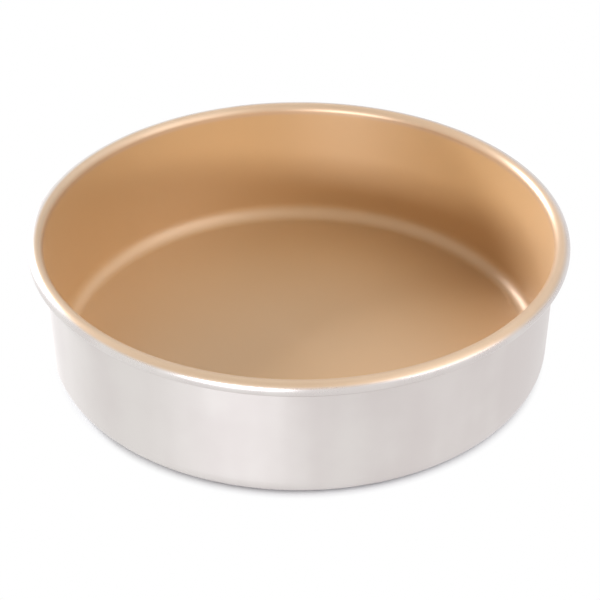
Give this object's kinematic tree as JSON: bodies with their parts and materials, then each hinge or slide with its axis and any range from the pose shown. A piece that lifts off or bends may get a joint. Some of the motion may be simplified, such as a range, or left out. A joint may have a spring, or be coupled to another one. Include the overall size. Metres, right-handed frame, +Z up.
{
  "type": "round cake tin",
  "caption": "Round, deep cake tin of drawn aluminium with a rolled, wire-filled rim and a gold-coloured non-stick coating inside.",
  "frame": {"origin": "centre of the underside, on the surface that the tin stands on", "axes": "+Z up out of the mouth; the tin is round, so X and Y are arbitrary"},
  "size_m": [0.2422, 0.2422, 0.0636],
  "materials": {
    "bare_aluminium": "natural, uncoated drawn aluminium sheet with a soft satin sheen",
    "galvanised_wire": "dull galvanised steel wire, shut inside the rolled rim",
    "gold_nonstick": "matt metallic gold non-stick coating, sprayed inside and over the rim's top, fading out on the rim's outer side"
  },
  "bodies": {
    "root": {"pan_shell": "bare_aluminium", "rim_wire": "galvanised_wire", "nonstick_coating": "gold_nonstick"}
  },
  "joints": []
}
